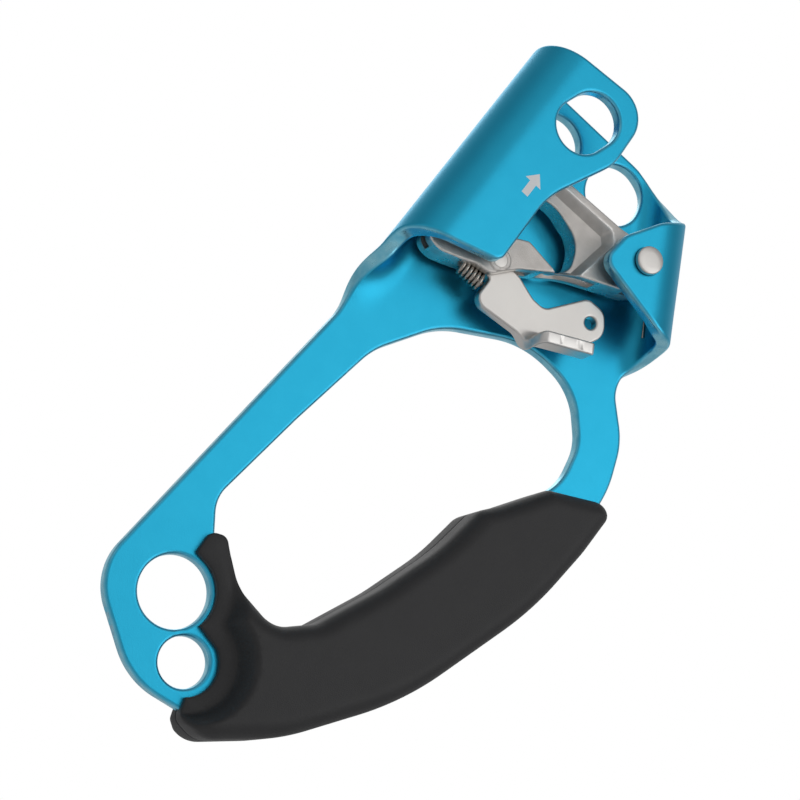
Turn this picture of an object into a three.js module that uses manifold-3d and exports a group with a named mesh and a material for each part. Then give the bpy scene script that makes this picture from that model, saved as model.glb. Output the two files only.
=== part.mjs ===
// A handled rope ascender for 8 to 13 mm rope. Millimetres, +Z up the rope, the front faces -Y.
// The origin is on the rope's axis, level with the pivot of the cam.
import * as THREE from "three";
import { mergeVertices } from "three/addons/utils/BufferGeometryUtils.js";
import Module from "manifold-3d";

// ---- driving dimensions ----
const PLATE = 4; // thickness of the frame's sheet
const CHANNEL_R = 6.75; // inside radius of the rope channel and of the ear's fold
const CLEAR = 0.3; // gap left between pieces that touch
const BACK_FACE = CHANNEL_R + PLATE; // y of the plate's rear face
const MID = CHANNEL_R + PLATE / 2; // y of the plate's middle, and the radius that keeps its length
const HALF_TURN = Math.PI * MID; // sheet used up by one 180 degree fold
const BEND_STEPS = 8; // flat strips that stand for one fold
const FADE_STEPS = 2; // and for the stretch over which a fold dies out
const SCREW_HOLE_R = 2.4;

const PIVOT = { x: 43.4, z: 0 }; // axis of the cam
const PIN = { x: 14.2, z: -24.8 }; // axis of the trigger, on the cam
const RIVET_R = 2.75;
const HEAD_R = 3.65;

const BIG_HOLE = { x: 2.9, z: -139.9, r: 8.8 }; // sling and carabiner hole
const SMALL_HOLE = { x: 14.9, z: -151.3, r: 6.15 };
const TOP_HOLE = { x: 9.0, z: 16.7, r: 7.7 }; // in the back plate, behind the channel's slot
const SIDE_HOLE = { x: 30.2, z: 17.6, r: 8.2 };
const SCREWS = [{ x: 64.5, z: -76 }, { x: 54.5, z: -107 }, { x: 31, z: -143 }];

// The channel's fold runs down x = 0 and dies out between these heights.
const CHANNEL_FADE = { full: -40, none: -58 };
// The ear folds about a line that leans 28 degrees from the rope; "along" is measured down this line.
const EAR_LEAN = THREE.MathUtils.degToRad(27.9);
const EAR_START = { x: 40.2, z: 12.07 };
const EAR_FADE = { full: 33, none: 44 };

// ---- materials ----
const finish = (color, roughness, metalness) =>
  new THREE.MeshStandardMaterial({ color, roughness, metalness });
const ANODISED = finish(0x2db3dc, 0.4, 0.7);
const RUBBER = finish(0x202124, 0.75, 0);
const CAST_STEEL = finish(0xb9b4ad, 0.45, 0.9);
const POLISHED_STEEL = finish(0xd2cfca, 0.25, 1);
const SPRING_STEEL = finish(0x9a958c, 0.3, 1);
const BRASS = finish(0xb08d4a, 0.4, 1);

// ---- solids: shapes are drawn as x and z, and given thickness along y ----
const wasm = await Module();
wasm.setup();

function solidOf(geometry) {
  const bare = geometry.clone();
  bare.deleteAttribute("normal");
  bare.deleteAttribute("uv");
  const merged = mergeVertices(bare, 1e-4);
  const vertProperties = new Float32Array(merged.attributes.position.array);
  const triVerts = new Uint32Array(merged.index.array);
  return new wasm.Manifold(new wasm.Mesh({ numProp: 3, vertProperties, triVerts }));
}

function geometryOf(solid) {
  const mesh = solid.getMesh();
  const geometry = new THREE.BufferGeometry();
  geometry.setAttribute("position", new THREE.Float32BufferAttribute(mesh.vertProperties, 3));
  geometry.setIndex(Array.from(mesh.triVerts));
  return geometry;
}

// Points of an arc, angles in degrees, anticlockwise when "to" is above "from".
function arc(centre, r, from, to, steps = 10) {
  return Array.from({ length: steps + 1 }, (_, i) => {
    const a = THREE.MathUtils.degToRad(from + ((to - from) * i) / steps);
    return new THREE.Vector2(centre.x + r * Math.cos(a), centre.z + r * Math.sin(a));
  });
}

const circle = (centre, r, steps = 24) => arc(centre, r, 0, 360, steps).slice(0, -1);

// A closed outline through [x, z, radius] corners, each rounded by a tangent arc that fits its two sides.
// A Vector2 in the list is kept as it is, so an arc can be part of the outline.
function rounded(items, degreesPerStep = 15) {
  const at = (i) => items[(i + items.length) % items.length];
  const point = (item) => (item.isVector2 ? item.clone() : new THREE.Vector2(item[0], item[1]));
  return items.flatMap((item, i) => {
    const corner = point(item);
    if (item.isVector2 || !item[2]) return [corner];
    const inward = point(at(i - 1)).sub(corner);
    const outward = point(at(i + 1)).sub(corner);
    return tangentArc(corner, inward, outward, item[2], degreesPerStep);
  });
}

function tangentArc(corner, inward, outward, radius, degreesPerStep) {
  const half = inward.angleTo(outward) / 2;
  const room = 0.48 * Math.min(inward.length(), outward.length());
  const reach = Math.min(radius / Math.tan(half), room);
  const r = reach * Math.tan(half);
  const start = inward.clone().setLength(reach);
  const end = outward.clone().setLength(reach);
  const centre = start.clone().add(end).setLength(r / Math.sin(half));
  const turn = Math.PI - 2 * half;
  const steps = Math.max(2, Math.ceil(THREE.MathUtils.radToDeg(turn) / degreesPerStep));
  const from = start.sub(centre);
  const side = Math.sign(inward.cross(outward)) || 1;
  return Array.from({ length: steps + 1 }, (_, i) => {
    const a = -side * (turn * i) / steps;
    return from.clone().rotateAround(new THREE.Vector2(), a).add(centre).add(corner);
  });
}

// An outline moved outwards (or inwards, if negative) by a distance, for pockets with clearance.
function grown(points, distance) {
  const way = THREE.ShapeUtils.area(points) > 0 ? 1 : -1;
  return points.map((p, i) => {
    const along = points[(i + 1) % points.length].clone().sub(points.at(i - 1)).normalize();
    return new THREE.Vector2(p.x + along.y * distance * way, p.y - along.x * distance * way);
  });
}

// A plate between two values of y, with an optional chamfer round its edges.
function plate(points, front, rear, { holes = [], bevel = 0 } = {}) {
  const shape = new THREE.Shape(points);
  shape.holes = holes.map((hole) => new THREE.Path(hole));
  const geometry = new THREE.ExtrudeGeometry(shape, {
    depth: rear - front - 2 * bevel,
    bevelEnabled: bevel > 0,
    bevelThickness: bevel,
    bevelSize: bevel,
    bevelOffset: -bevel,
    bevelSegments: 1,
  });
  return geometry.rotateX(Math.PI / 2).translate(0, rear - bevel, 0);
}

const solidPlate = (...args) => solidOf(plate(...args));

// A turned piece with its axis along y. Its profile of [radius, y] closes on itself or on the axis.
function turned(centre, profile, sides = 24) {
  const points = profile.map(([r, y]) => new THREE.Vector2(r, y));
  return solidOf(new THREE.LatheGeometry(points, sides)).translate([centre.x, 0, centre.z]);
}

const rod = (centre, r, front, rear, sides) =>
  turned(centre, [[0, front], [r, front], [r, rear], [0, rear]], sides);

const ring = (centre, inner, outer, front, rear, sides) =>
  turned(centre, [[inner, front], [outer, front], [outer, rear], [inner, rear], [inner, front]], sides);

// Round wire along a curve, with flat ends.
function wire(curve, diameter, steps) {
  const shape = new THREE.Shape(circle({ x: 0, z: 0 }, diameter / 2, 6));
  return new THREE.ExtrudeGeometry(shape, { steps, extrudePath: curve, bevelEnabled: false });
}

const group = new THREE.Group();

function add(name, body, material) {
  const geometry = body.isBufferGeometry ? body : geometryOf(body);
  const mesh = new THREE.Mesh(geometry, material);
  mesh.name = name;
  group.add(mesh);
}

// ---- frame: one flat blank, then folded twice ----
const EAR_ALONG = new THREE.Vector2(Math.sin(EAR_LEAN), -Math.cos(EAR_LEAN));
const EAR_ACROSS = new THREE.Vector2(Math.cos(EAR_LEAN), Math.sin(EAR_LEAN));

// A place on the ear in the flat blank, from its distance across the fold line and along it.
const onEar = (across, along, radius) => [
  EAR_START.x + across * EAR_ACROSS.x + along * EAR_ALONG.x,
  EAR_START.z + across * EAR_ACROSS.y + along * EAR_ALONG.y,
  radius,
];

// A place on the channel's front flange in the flat blank, from where it ends up.
const onFlange = (x, z, radius) => [-HALF_TURN - x, z, radius];

const blankOutline = rounded([
  [33, 28.3, 22],
  [3, 28.3, 40],
  onFlange(20.8, 33, 10),
  onFlange(21.6, 14, 12),
  onFlange(13, -5.5, 22),
  onFlange(13.4, -28, 3.2),
  [-14.8, -36.7, 8],
  [-7.7, -57.7, 16],
  [-14.9, -147.9, 15],
  [7.4, -162.6, 20],
  [22.9, -160.3, 4],
  [31, -153.5, 10],
  [48, -134.5, 60],
  [62.5, -106, 80],
  [73.3, -71, 30],
  [77.9, -56.6, 5],
  [75.3, -45.5, 30],
  [71, -33.7, 20],
  [62, -24.8, 8],
  onEar(3.2, 38, 10),
  onEar(13, 31.2, 12),
  onEar(24, 29.6, 10),
  onEar(42.2, 14.5, 3.6),
  onEar(37, 6.8, 6),
  onEar(27.5, 0.8, 20),
  onEar(13.7, -4.6, 16),
], 30);

const handleWindow = rounded([
  [-2.9, -115.8, 9],
  [0.7, -87.6, 60],
  [5, -60.7, 22],
  [15, -43.7, 24],
  [35.5, -30.7, 26],
  [52.6, -32, 18],
  [62, -42.6, 13],
  [64, -53.2, 14],
  [55.6, -75, 12],
  [47.5, -106, 60],
  [35, -131, 10],
  [18, -134.5, 14],
  [5, -127, 8],
]);

// The long slot in the channel's front flange leans with the flange's edge.
const SLOT = { x: 9.6, z: 17.6, r: 7.2, straight: 4, lean: 18 };
const slotEnd = (sign) => {
  const lean = THREE.MathUtils.degToRad(SLOT.lean);
  const half = (sign * SLOT.straight) / 2;
  return { x: SLOT.x + half * Math.sin(lean), z: SLOT.z + half * Math.cos(lean) };
};
const flangeSlot = [
  ...arc(slotEnd(1), SLOT.r, -SLOT.lean, 180 - SLOT.lean, 12),
  ...arc(slotEnd(-1), SLOT.r, 180 - SLOT.lean, 360 - SLOT.lean, 12),
];

// How strongly a fold is made at a place: 1 up to "full", 0 from "none" on, and an even change between them.
function strength(value, { full, none }) {
  const share = THREE.MathUtils.clamp((value - none) / (full - none), 0, 1);
  return THREE.MathUtils.smoothstep(share, 0, 1);
}

const FLAT = 1e-4; // a fold made less strongly than this is left out
// Rolls a distance past a fold line round the fold: returns how far it ends up from the line, and its y.
function roll(past, y, share) {
  const radius = MID / share;
  const turn = Math.min(past / radius, Math.PI);
  const rest = past - turn * radius;
  const reach = radius + (y - MID);
  return [reach * Math.sin(turn) + rest * Math.cos(turn), MID - radius + reach * Math.cos(turn)];
}

function fold(v) {
  const channel = strength(v.z, CHANNEL_FADE);
  if (v.x < 0 && channel > FLAT) {
    const [out, y] = roll(-v.x, v.y, channel);
    return new THREE.Vector3(-out, y, v.z);
  }
  const from = new THREE.Vector2(v.x - EAR_START.x, v.z - EAR_START.z);
  const across = from.dot(EAR_ACROSS);
  const along = from.dot(EAR_ALONG);
  const ear = strength(along, EAR_FADE);
  if (across <= 0 || ear < FLAT) return v;
  const [out, y] = roll(across, v.y, ear);
  const [x, z] = onEar(out, along);
  return new THREE.Vector3(x, y, z);
}

// Splits every triangle that crosses the plane normal . p = offset, so that the sheet can bend there.
const ON_CREASE = 1e-5;
function creased(triangles, normal, offset) {
  const height = (p) => normal.x * p.x + normal.y * p.z - offset;
  const sideOf = (p) => (Math.abs(height(p)) < ON_CREASE ? 0 : Math.sign(height(p)));
  const cut = (a, b) => {
    const [low, high] = height(a) < height(b) ? [a, b] : [b, a];
    return low.clone().lerp(high, height(low) / (height(low) - height(high)));
  };
  return triangles.flatMap((triangle) => {
    const sides = triangle.map(sideOf);
    if (!sides.includes(1) || !sides.includes(-1)) return [triangle];
    // the corner on the crease, or else the one that is alone on its side
    const lone = sides.includes(0) ? 0 : -Math.sign(sides[0] + sides[1] + sides[2]);
    const first = sides.indexOf(lone);
    const [a, b, c] = [0, 1, 2].map((k) => triangle[(first + k) % 3]);
    if (lone === 0) {
      const m = cut(b, c);
      return [[a, b, m], [a, m, c]];
    }
    const [m, n] = [cut(a, b), cut(a, c)];
    return [[a, m, n], [m, b, c], [m, c, n]];
  });
}

function bentFrame() {
  const blank = plate(blankOutline, CHANNEL_R, BACK_FACE);
  const position = blank.attributes.position;
  let triangles = [];
  for (let i = 0; i < position.count; i += 3) {
    triangles.push([0, 1, 2].map((k) => new THREE.Vector3().fromBufferAttribute(position, i + k)));
  }
  const sideways = new THREE.Vector2(1, 0);
  const upward = new THREE.Vector2(0, 1);
  const earStart = new THREE.Vector2(EAR_START.x, EAR_START.z);
  for (let i = 0; i <= BEND_STEPS; i += 1) {
    const past = (HALF_TURN * i) / BEND_STEPS;
    triangles = creased(triangles, sideways, -past);
    triangles = creased(triangles, EAR_ACROSS, EAR_ACROSS.dot(earStart) + past);
  }
  for (let i = 0; i <= FADE_STEPS; i += 1) {
    const share = i / FADE_STEPS;
    triangles = creased(triangles, upward, THREE.MathUtils.lerp(CHANNEL_FADE.none, CHANNEL_FADE.full, share));
    const along = THREE.MathUtils.lerp(EAR_FADE.full, EAR_FADE.none, share);
    triangles = creased(triangles, EAR_ALONG, EAR_ALONG.dot(earStart) + along);
  }
  return solidOf(new THREE.BufferGeometry().setFromPoints(triangles.flat().map(fold)));
}

// The holes are cut in the folded frame, and the rivet's hole goes through the ear and the plate at once.
function frameSolid() {
  const through = [CHANNEL_R - 1, BACK_FACE + 1];
  const cutters = [
    solidPlate(handleWindow, ...through),
    solidPlate(flangeSlot, -BACK_FACE - 1, -CHANNEL_R + 1),
    ...[BIG_HOLE, SMALL_HOLE, TOP_HOLE, SIDE_HOLE].map((hole) => rod(hole, hole.r, ...through)),
    ...SCREWS.map((screw) => rod(screw, SCREW_HOLE_R, ...through, 12)),
    rod(PIVOT, RIVET_R + CLEAR, -BACK_FACE - 1, BACK_FACE + 1, 20),
  ];
  return cutters.reduce((frame, cutter) => frame.subtract(cutter), bentFrame());
}

add("frame", frameSolid(), ANODISED);

// ---- grip: two rubber shells clamped round the handle by three screws ----
const GRIP = { front: -3, rear: 20.5, lip: 2.4, crown: 3 };
const gripFoot = rounded([
  [79, -54, 3],
  [74.5, -52.2, 6],
  [59.9, -59.2, 2],
  [52.2, -71.3, 5],
  [48.6, -76, 5],
  [46.6, -90, 60],
  [40.7, -107.3, 60],
  [33, -124.5, 9],
  [25.8, -132, 7],
  [14.4, -129, 14],
  [8, -124, 3],
  [4.6, -121, 2.4],
  [0.6, -123, 2.4],
  [1, -129.6, 0.8],
  ...arc(BIG_HOLE, 9.9, 78, -16, 8),
  ...arc(SMALL_HOLE, 8.2, 60, -52, 8),
  [20.8, -163.2, 3],
  [28, -164.2, 7],
  [43.3, -151.6, 50],
  [62.2, -125.6, 80],
  [75.7, -86.8, 90],
  [78.4, -66.6, 40],
]);
// The palm fills the foot's outline, but leaves a lip round the two holes and at the thumb rest.
const gripBody = rounded([
  [79, -54, 5],
  [60.4, -59.6, 4],
  [52.2, -71.3, 6],
  [48.6, -76, 6],
  [46.6, -90, 60],
  [40.7, -107.3, 60],
  [33, -124.5, 9],
  [25.8, -132, 9],
  [16.4, -131.6, 5],
  [15.4, -141, 6],
  [25.4, -146.4, 6],
  [25.2, -164, 5],
  [43.3, -151.6, 50],
  [62.2, -125.6, 80],
  [75.7, -86.8, 90],
  [78.4, -66.6, 40],
]);

// The part of the plate that lies inside the grip, with clearance: it runs on past the grip's ends.
const handleCore = grown(
  rounded([
    [75.3, -45.5, 0],
    [77.9, -56.6, 5],
    [73.3, -71, 30],
    [62.5, -106, 80],
    [48, -134.5, 60],
    [31, -153.5, 10],
    [22.9, -160.3, 4],
    [7.4, -162.6, 0],
    [-10, -140, 0],
    [-6, -112, 0],
    [-2.9, -115.8, 0],
    [5, -127, 8],
    [18, -134.5, 14],
    [35, -131, 10],
    [47.5, -106, 60],
    [55.6, -75, 12],
    [64, -53.2, 14],
    [62, -42.6, 0],
  ]),
  CLEAR,
);

function gripWhole() {
  const foot = solidPlate(gripFoot, CHANNEL_R - GRIP.lip, BACK_FACE + GRIP.lip);
  const body = solidPlate(gripBody, GRIP.front, GRIP.rear, { bevel: GRIP.crown });
  const pocket = solidPlate(handleCore, CHANNEL_R - CLEAR, BACK_FACE + CLEAR);
  return foot.add(body).subtract(pocket);
}

// y of the screws' ends and of the undersides of their heads; the drive is a round socket.
const SCREW = { r: 2, head: 3.5, headTop: 19.6, headUnder: 16.6, tip: 0.9, chamfer: 1 };
const SOCKET = { r: 1.3, depth: 1.6 };
const INSERT = { inner: 2.3, outer: 3.2, front: 0.6, rear: 6 };
const screwProfile = [
  [0, SCREW.tip],
  [SCREW.r, SCREW.tip],
  [SCREW.r, SCREW.headUnder],
  [SCREW.head, SCREW.headUnder],
  [SCREW.head, SCREW.headTop - SCREW.chamfer],
  [SCREW.head - SCREW.chamfer, SCREW.headTop],
  [SOCKET.r, SCREW.headTop],
  [SOCKET.r, SCREW.headTop - SOCKET.depth],
  [0, SCREW.headTop - SOCKET.depth],
];

function keptBetween(solid, front, rear) {
  const block = new THREE.BoxGeometry(200, rear - front, 300).translate(0, (front + rear) / 2, -50);
  return solid.intersect(solidOf(block));
}

const grip = gripWhole();
let frontShell = keptBetween(grip, GRIP.front - 1, MID - CLEAR / 2);
let rearShell = keptBetween(grip, MID + CLEAR / 2, GRIP.rear + 1);
SCREWS.forEach((at, i) => {
  const n = i + 1;
  frontShell = frontShell.subtract(rod(at, INSERT.outer + CLEAR, INSERT.front - CLEAR, MID, 16));
  rearShell = rearShell.subtract(rod(at, SCREW.r + CLEAR, MID, SCREW.headUnder, 16));
  rearShell = rearShell.subtract(rod(at, SCREW.head + CLEAR, SCREW.headUnder - CLEAR, GRIP.rear + 1, 20));
  add(`grip_screw_${n}`, turned(at, screwProfile, 16), POLISHED_STEEL);
  add(`grip_insert_${n}`, ring(at, INSERT.inner, INSERT.outer, INSERT.front, INSERT.rear, 16), BRASS);
});
add("grip_front_shell", frontShell, RUBBER);
add("grip_rear_shell", rearShell, RUBBER);

// ---- cam: a toothed casting on a bushing ----
const CAM_HALF = 4.5; // half of the casting's thickness
const BOSS_FACE = 5.6; // how far the hub's bosses stand from the middle
const HUB_R = 7;
const BOSS_R = 5;
const TRIGGER_HALF = 1.6; // half of the trigger's thickness
const BUSHING = { inner: RIVET_R + CLEAR, outer: 4.05 };
const TOOTHED_FACE = [[13, 4.6, 3], [8.6, 0, 14], [1.7, -13, 40], [-4, -26.5, 10], [-4.7, -32.6, 4.2]];

const camOutline = rounded([
  ...TOOTHED_FACE,
  [0, -34.2, 6],
  [6.5, -31.6, 12],
  [10.2, -29.8, 3],
  [14.5, -29.2, 3.5],
  [19.2, -23.2, 8],
  [31.4, -13.8, 30],
  ...arc(PIVOT, HUB_R, -62, 92, 10),
  [35, 5.4, 12],
]);
const camWindow = rounded([
  [10.5, -3.2, 3],
  [18, -1.6, 12],
  [28, -4.6, 9],
  [31, -12.4, 4],
  [27, -16.4, 2.5],
  [17.4, -15.2, 2],
  [13.6, -17.4, 2],
  [7, -14, 3],
]);
const pocketFloor = [[11, 1.4], [32.3, 0.1], [33.2, -1.2], [31, -13.3], [27, -16.5], [12, -10]];
const pocketRim = [[11, 3.4], [32.6, 3.9], [35.6, 0.9], [32.9, -13.2], [28, -17.2], [12, -10]];

// A pocket with sloped walls: its floor and its rim have the same number of corners.
function sunk(floor, rim, floorY, rimY) {
  const corners = [...floor.map(([x, z]) => [x, floorY, z]), ...rim.map(([x, z]) => [x, rimY, z])];
  const n = floor.length;
  const faces = [];
  for (let i = 0; i < n; i += 1) {
    const j = (i + 1) % n;
    faces.push([i, n + j, j], [i, n + i, n + j]);
    if (i > 0 && i < n - 1) faces.push([0, i, i + 1], [n, n + i + 1, n + i]);
  }
  const geometry = new THREE.BufferGeometry();
  geometry.setAttribute("position", new THREE.Float32BufferAttribute(corners.flat(), 3));
  geometry.setIndex(faces.flat());
  return solidOf(geometry);
}

// Spikes stand in rows along the toothed face, in two columns beside the mud slot.
const toothLine = [[10.6, 1.2], [5.8, -5.6], [1.8, -13.5], [-1.5, -20.8], [-3.7, -27]];
const TOOTH = { rows: 8, column: 3, r: 0.9, length: 2.4, lift: 0.2, sides: 5 };
function teeth() {
  const face = new THREE.CatmullRomCurve3(toothLine.map(([x, z]) => new THREE.Vector3(x, 0, z)));
  const up = new THREE.Vector3(0, 1, 0);
  const spikes = [];
  for (let i = 0; i < TOOTH.rows; i += 1) {
    const share = (i + 0.5) / TOOTH.rows;
    const at = face.getPointAt(share);
    const along = face.getTangentAt(share);
    const outward = new THREE.Vector3(-along.z, 0, along.x);
    for (const y of [-TOOTH.column, TOOTH.column]) {
      const spike = new THREE.ConeGeometry(TOOTH.r, TOOTH.length, TOOTH.sides).translate(0, TOOTH.lift, 0);
      spike.applyQuaternion(new THREE.Quaternion().setFromUnitVectors(up, outward));
      spikes.push(solidOf(spike.translate(at.x, y, at.z)));
    }
  }
  return spikes;
}

const POCKET_DEPTH = 2.6;
const SMALL_SPRING_Z = -31; // height of the small spring's axis, which runs along x
const CAM_SPRING = { mean: 5.75, wire: 0.9, turns: 3, front: -4.6, rear: -1.7 };
const COIL_ROOM = CAM_SPRING.rear + 0.7; // y of the floor of the recess that the coils lie in
const EYE_R = 3; // of the trigger, round its pin
const mudSlot = [[-9, -30], [-3, -36], [0.5, -31], [9, -5], [3, -2]].map(([x, z]) => new THREE.Vector2(x, z));
const fork = rounded([
  [10.4, -20.8, 3.6],
  [24.5, -20.8, 0],
  [24.5, -34, 0],
  [9, -34, 0],
  [10.4, -28, 1],
]);
const SPRING_SEAT = { r: 2.3, left: 6.8, right: 12.8 };
const TRIGGER_PIN = { r: 1.2, head: 2, headUnder: -CAM_HALF + 0.6 };

function rodAlongX(r, left, right, sides) {
  const rodGeometry = new THREE.CylinderGeometry(r, r, right - left, sides).rotateZ(Math.PI / 2);
  return rodGeometry.translate((left + right) / 2, 0, SMALL_SPRING_Z);
}

function camSolid() {
  const past = BOSS_FACE + 1; // beyond the casting's faces
  const cutters = [
    ring(PIVOT, BOSS_R, HUB_R + CLEAR, -past, COIL_ROOM),
    solidPlate(camWindow, -past, past),
    sunk(pocketFloor, pocketRim, -CAM_HALF + POCKET_DEPTH, -CAM_HALF - 0.1),
    solidPlate(mudSlot, -1.3, 1.3),
    solidPlate(fork, -TRIGGER_HALF - CLEAR, TRIGGER_HALF + CLEAR),
    solidOf(rodAlongX(SPRING_SEAT.r, SPRING_SEAT.left, SPRING_SEAT.right, 12)),
    rod(PIVOT, BUSHING.outer + CLEAR, -past, past),
    rod(PIN, TRIGGER_PIN.r + CLEAR, -past, past, 12),
    rod(PIN, TRIGGER_PIN.head + CLEAR, -past, TRIGGER_PIN.headUnder + CLEAR, 16),
  ];
  const casting = [rod(PIVOT, BOSS_R, -BOSS_FACE, BOSS_FACE), ...teeth()].reduce(
    (cam, piece) => cam.add(piece),
    solidPlate(camOutline, -CAM_HALF, CAM_HALF),
  );
  return cutters.reduce((cam, cutter) => cam.subtract(cutter), casting);
}

add("cam", camSolid(), CAST_STEEL);
add("cam_bushing", ring(PIVOT, BUSHING.inner, BUSHING.outer, -BOSS_FACE, BOSS_FACE), SPRING_STEEL);

const WASHER = { inner: RIVET_R + CLEAR, outer: 4.5 };
const washerFace = CHANNEL_R - 0.4;
const washerUnder = BOSS_FACE + 0.2;
add("cam_washer_front", ring(PIVOT, WASHER.inner, WASHER.outer, -washerFace, -washerUnder), POLISHED_STEEL);
add("cam_washer_rear", ring(PIVOT, WASHER.inner, WASHER.outer, washerUnder, washerFace), POLISHED_STEEL);

// The rivet's head stands on the ear in front; its tail is spread behind the back plate.
const rivetUnder = BACK_FACE + CLEAR;
const RIVET_HEAD = 1.6;
const RIVET_TAIL = 1.4;
const rivetProfile = [
  [0, -rivetUnder - RIVET_HEAD],
  [HEAD_R - 0.4, -rivetUnder - RIVET_HEAD],
  [HEAD_R, -rivetUnder - RIVET_HEAD + 0.4],
  [HEAD_R, -rivetUnder],
  [RIVET_R, -rivetUnder],
  [RIVET_R, rivetUnder],
  [HEAD_R, rivetUnder],
  [HEAD_R, rivetUnder + RIVET_TAIL - 0.5],
  [HEAD_R - 0.5, rivetUnder + RIVET_TAIL],
  [0, rivetUnder + RIVET_TAIL],
];
add("cam_rivet", turned(PIVOT, rivetProfile), POLISHED_STEEL);

// The torsion spring coils round the front boss, and its leg rests inside the ear's fold.
const springLeg = [[56.6, -2.4, -11.4], [53.4, -3.4, -8.6], [50.2, -4.3, -6.1]];
function camSpringCurve() {
  const { mean, turns, front, rear } = CAM_SPRING;
  const legEnds = THREE.MathUtils.degToRad(-50);
  const steps = turns * 12;
  const coils = Array.from({ length: steps + 1 }, (_, i) => {
    const a = legEnds - (2 * Math.PI * turns * i) / steps;
    const y = THREE.MathUtils.lerp(front, rear, i / steps);
    return [PIVOT.x + mean * Math.cos(a), y, PIVOT.z + mean * Math.sin(a)];
  });
  return new THREE.CatmullRomCurve3([...springLeg, ...coils].map((p) => new THREE.Vector3(...p)));
}
add("cam_spring", wire(camSpringCurve(), CAM_SPRING.wire, 46), SPRING_STEEL);

// ---- trigger: a catch on the cam, with a thumb tab folded forward and a cord hole ----
const TAB_FRONT = -7.6;
const CORD_HOLE = { x: 43.3, z: -19, r: 2.1 };
const triggerOutline = rounded([
  ...arc(PIN, EYE_R, 55, 205, 8),
  [12.6, -28.2, 1.5],
  [15.7, -29, 1],
  [15.7, -36.4, 3],
  [31, -35.6, 4],
  [47.2, -27.4, 2],
  [48.4, -19, 4.5],
  [44.8, -14, 3.5],
  [39.2, -14.2, 3],
  [31.6, -24.9, 3],
  [27.6, -24.9, 5],
  [21.8, -23, 2],
]);
const tabOutline = rounded([[34.2, -31.9, 1], [46.2, -25.6, 1], [47.5, -28.1, 1], [35.6, -34.4, 1]], 30);

function triggerSolid() {
  const body = solidPlate(triggerOutline, -TRIGGER_HALF, TRIGGER_HALF);
  const tab = solidPlate(tabOutline, TAB_FRONT, TRIGGER_HALF);
  return body
    .add(tab)
    .subtract(rod(PIN, TRIGGER_PIN.r + CLEAR, -CAM_HALF, CAM_HALF, 12))
    .subtract(rod(CORD_HOLE, CORD_HOLE.r, -CAM_HALF, CAM_HALF, 16));
}
add("trigger", triggerSolid(), POLISHED_STEEL);

const pinProfile = [
  [0, -CAM_HALF - 0.5],
  [TRIGGER_PIN.head - 0.4, -CAM_HALF - 0.5],
  [TRIGGER_PIN.head, -CAM_HALF - 0.1],
  [TRIGGER_PIN.head, TRIGGER_PIN.headUnder],
  [TRIGGER_PIN.r, TRIGGER_PIN.headUnder],
  [TRIGGER_PIN.r, CAM_HALF + CLEAR],
  [TRIGGER_PIN.head, CAM_HALF + CLEAR],
  [TRIGGER_PIN.head, CAM_HALF + 1],
  [0, CAM_HALF + 1],
];
add("trigger_pin", turned(PIN, pinProfile, 16), POLISHED_STEEL);

// The guide peg is pressed into the trigger's edge, inside the small spring.
const GUIDE = { r: 0.75, tip: 12, root: 15.3 };
add("spring_guide", rodAlongX(GUIDE.r, GUIDE.tip, GUIDE.root, 10), POLISHED_STEEL);

const TRIGGER_SPRING = { mean: 1.5, wire: 0.7, turns: 6, left: 7.6, right: 14.6 };
class Coil extends THREE.Curve {
  getPoint(t) {
    const { mean, turns, left, right } = TRIGGER_SPRING;
    const a = 2 * Math.PI * turns * t;
    const x = left + (right - left) * t;
    return new THREE.Vector3(x, mean * Math.cos(a), SMALL_SPRING_Z + mean * Math.sin(a));
  }
}
add("trigger_spring", wire(new Coil(), TRIGGER_SPRING.wire, TRIGGER_SPRING.turns * 10), SPRING_STEEL);

export default group;
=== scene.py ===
# %% [markdown]
# # A handled rope ascender
# The frame is one sheet of aluminium folded round the rope. A toothed cam bites the rope, a trigger locks
# the cam, and a rubber grip is screwed round the handle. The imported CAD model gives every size, body and
# joint. This lesson dresses it.

import math

import bmesh
import bpy
import numpy as np
from mathutils import Matrix, Vector
from mathutils.geometry import delaunay_2d_cdt


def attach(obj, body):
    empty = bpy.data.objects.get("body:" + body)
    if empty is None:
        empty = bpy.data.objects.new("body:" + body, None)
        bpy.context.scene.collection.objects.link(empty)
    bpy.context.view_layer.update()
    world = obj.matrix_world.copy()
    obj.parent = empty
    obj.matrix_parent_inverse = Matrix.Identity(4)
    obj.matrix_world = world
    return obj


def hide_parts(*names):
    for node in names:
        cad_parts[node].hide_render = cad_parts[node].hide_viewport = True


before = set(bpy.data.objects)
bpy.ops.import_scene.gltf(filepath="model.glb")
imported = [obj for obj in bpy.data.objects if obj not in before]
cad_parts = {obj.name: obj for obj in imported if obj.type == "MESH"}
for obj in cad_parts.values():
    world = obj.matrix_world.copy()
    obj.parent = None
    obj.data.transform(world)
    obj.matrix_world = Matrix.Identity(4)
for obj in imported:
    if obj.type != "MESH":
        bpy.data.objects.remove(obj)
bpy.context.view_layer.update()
MM = 0.001

# %% [markdown]
# ## Camera and light
# The object is seen from below and a little to the left, tilted so that the rope channel points up and to
# the right. A camera matrix built from its three axes says that exactly. The light is what shows metal: a
# metal face only mirrors what is round it, so the world is bright in front of and behind the object, and
# dim at the sides, like a softbox studio.

# %% The camera
CAMERA_RIGHT = (0.7316, -0.3855, 0.5622)
CAMERA_UP = (-0.6549, -0.1687, 0.7366)
TOWARDS_CAMERA = (-0.1891, -0.9071, -0.3759)
CAMERA_PLACE = (-0.0869, -0.4961, -0.2745)

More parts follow.
